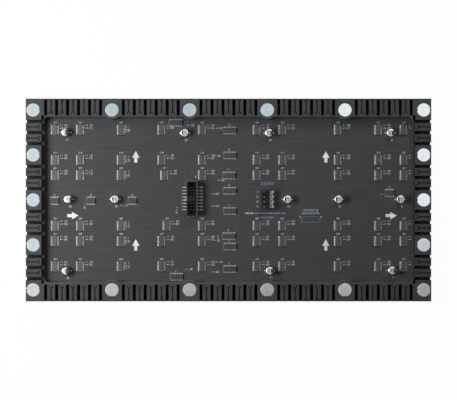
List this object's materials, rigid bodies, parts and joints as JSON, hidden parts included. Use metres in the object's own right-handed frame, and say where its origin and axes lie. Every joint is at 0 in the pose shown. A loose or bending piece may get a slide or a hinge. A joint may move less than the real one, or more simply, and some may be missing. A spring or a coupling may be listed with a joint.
{
  "type": "flexible LED display module",
  "caption": "Flexible LED panel module: a thin board with drivers and headers inside a slotted rubber frame that holds disc magnets; the LED face is the underside.",
  "frame": {"origin": "middle of the LED face, on the surface that the module lies on", "axes": "+X along the length, +Y across the width, +Z out of the back, towards the magnets"},
  "size_m": [0.32, 0.16, 0.0123],
  "materials": {
    "frame_rubber": "matt moulded rubber",
    "board": "satin black solder mask",
    "mask_plastic": "matt black",
    "lamp_lens": "clear lens over a pale package",
    "magnet_nickel": "satin nickel plating",
    "tinned_metal": "tinned",
    "pin_metal": "gold flashed",
    "chip_body": "matt moulded",
    "can_metal": "bright drawn",
    "moulded_black": "satin moulded",
    "resistor_body": "glazed black with tinned ends",
    "capacitor_ceramic": "matt tan with tinned ends"
  },
  "bodies": {
    "root": {"buffer_chips": "chip_body", "buffer_leads": "tinned_metal", "capacitor_bases": "moulded_black", "capacitor_cans": "can_metal", "capacitor_tabs": "tinned_metal", "chip_capacitors": "capacitor_ceramic", "circuit_board": "board", "data_header_pins": "pin_metal", "data_header_shroud": "moulded_black", "driver_chips_row_1": "chip_body", "driver_chips_row_2": "chip_body", "driver_chips_row_3": "chip_body", "driver_chips_row_4": "chip_body", "driver_chips_row_5": "chip_body", "driver_chips_row_6": "chip_body", "driver_leads_row_1": "tinned_metal", "driver_leads_row_2": "tinned_metal", "driver_leads_row_3": "tinned_metal", "driver_leads_row_4": "tinned_metal", "driver_leads_row_5": "tinned_metal", "driver_leads_row_6": "tinned_metal", "lamp_rows": "lamp_lens", "led_mask": "mask_plastic", "magnets_bottom_row": "magnet_nickel", "magnets_left_column": "magnet_nickel", "magnets_right_column": "magnet_nickel", "magnets_top_row": "magnet_nickel", "power_header_body": "moulded_black", "power_header_pins": "tinned_metal", "resistors": "resistor_body", "row_switch_chips": "chip_body", "row_switch_leads": "tinned_metal", "rubber_frame": "frame_rubber", "spare_header_pads": "tinned_metal"}
  },
  "joints": []
}
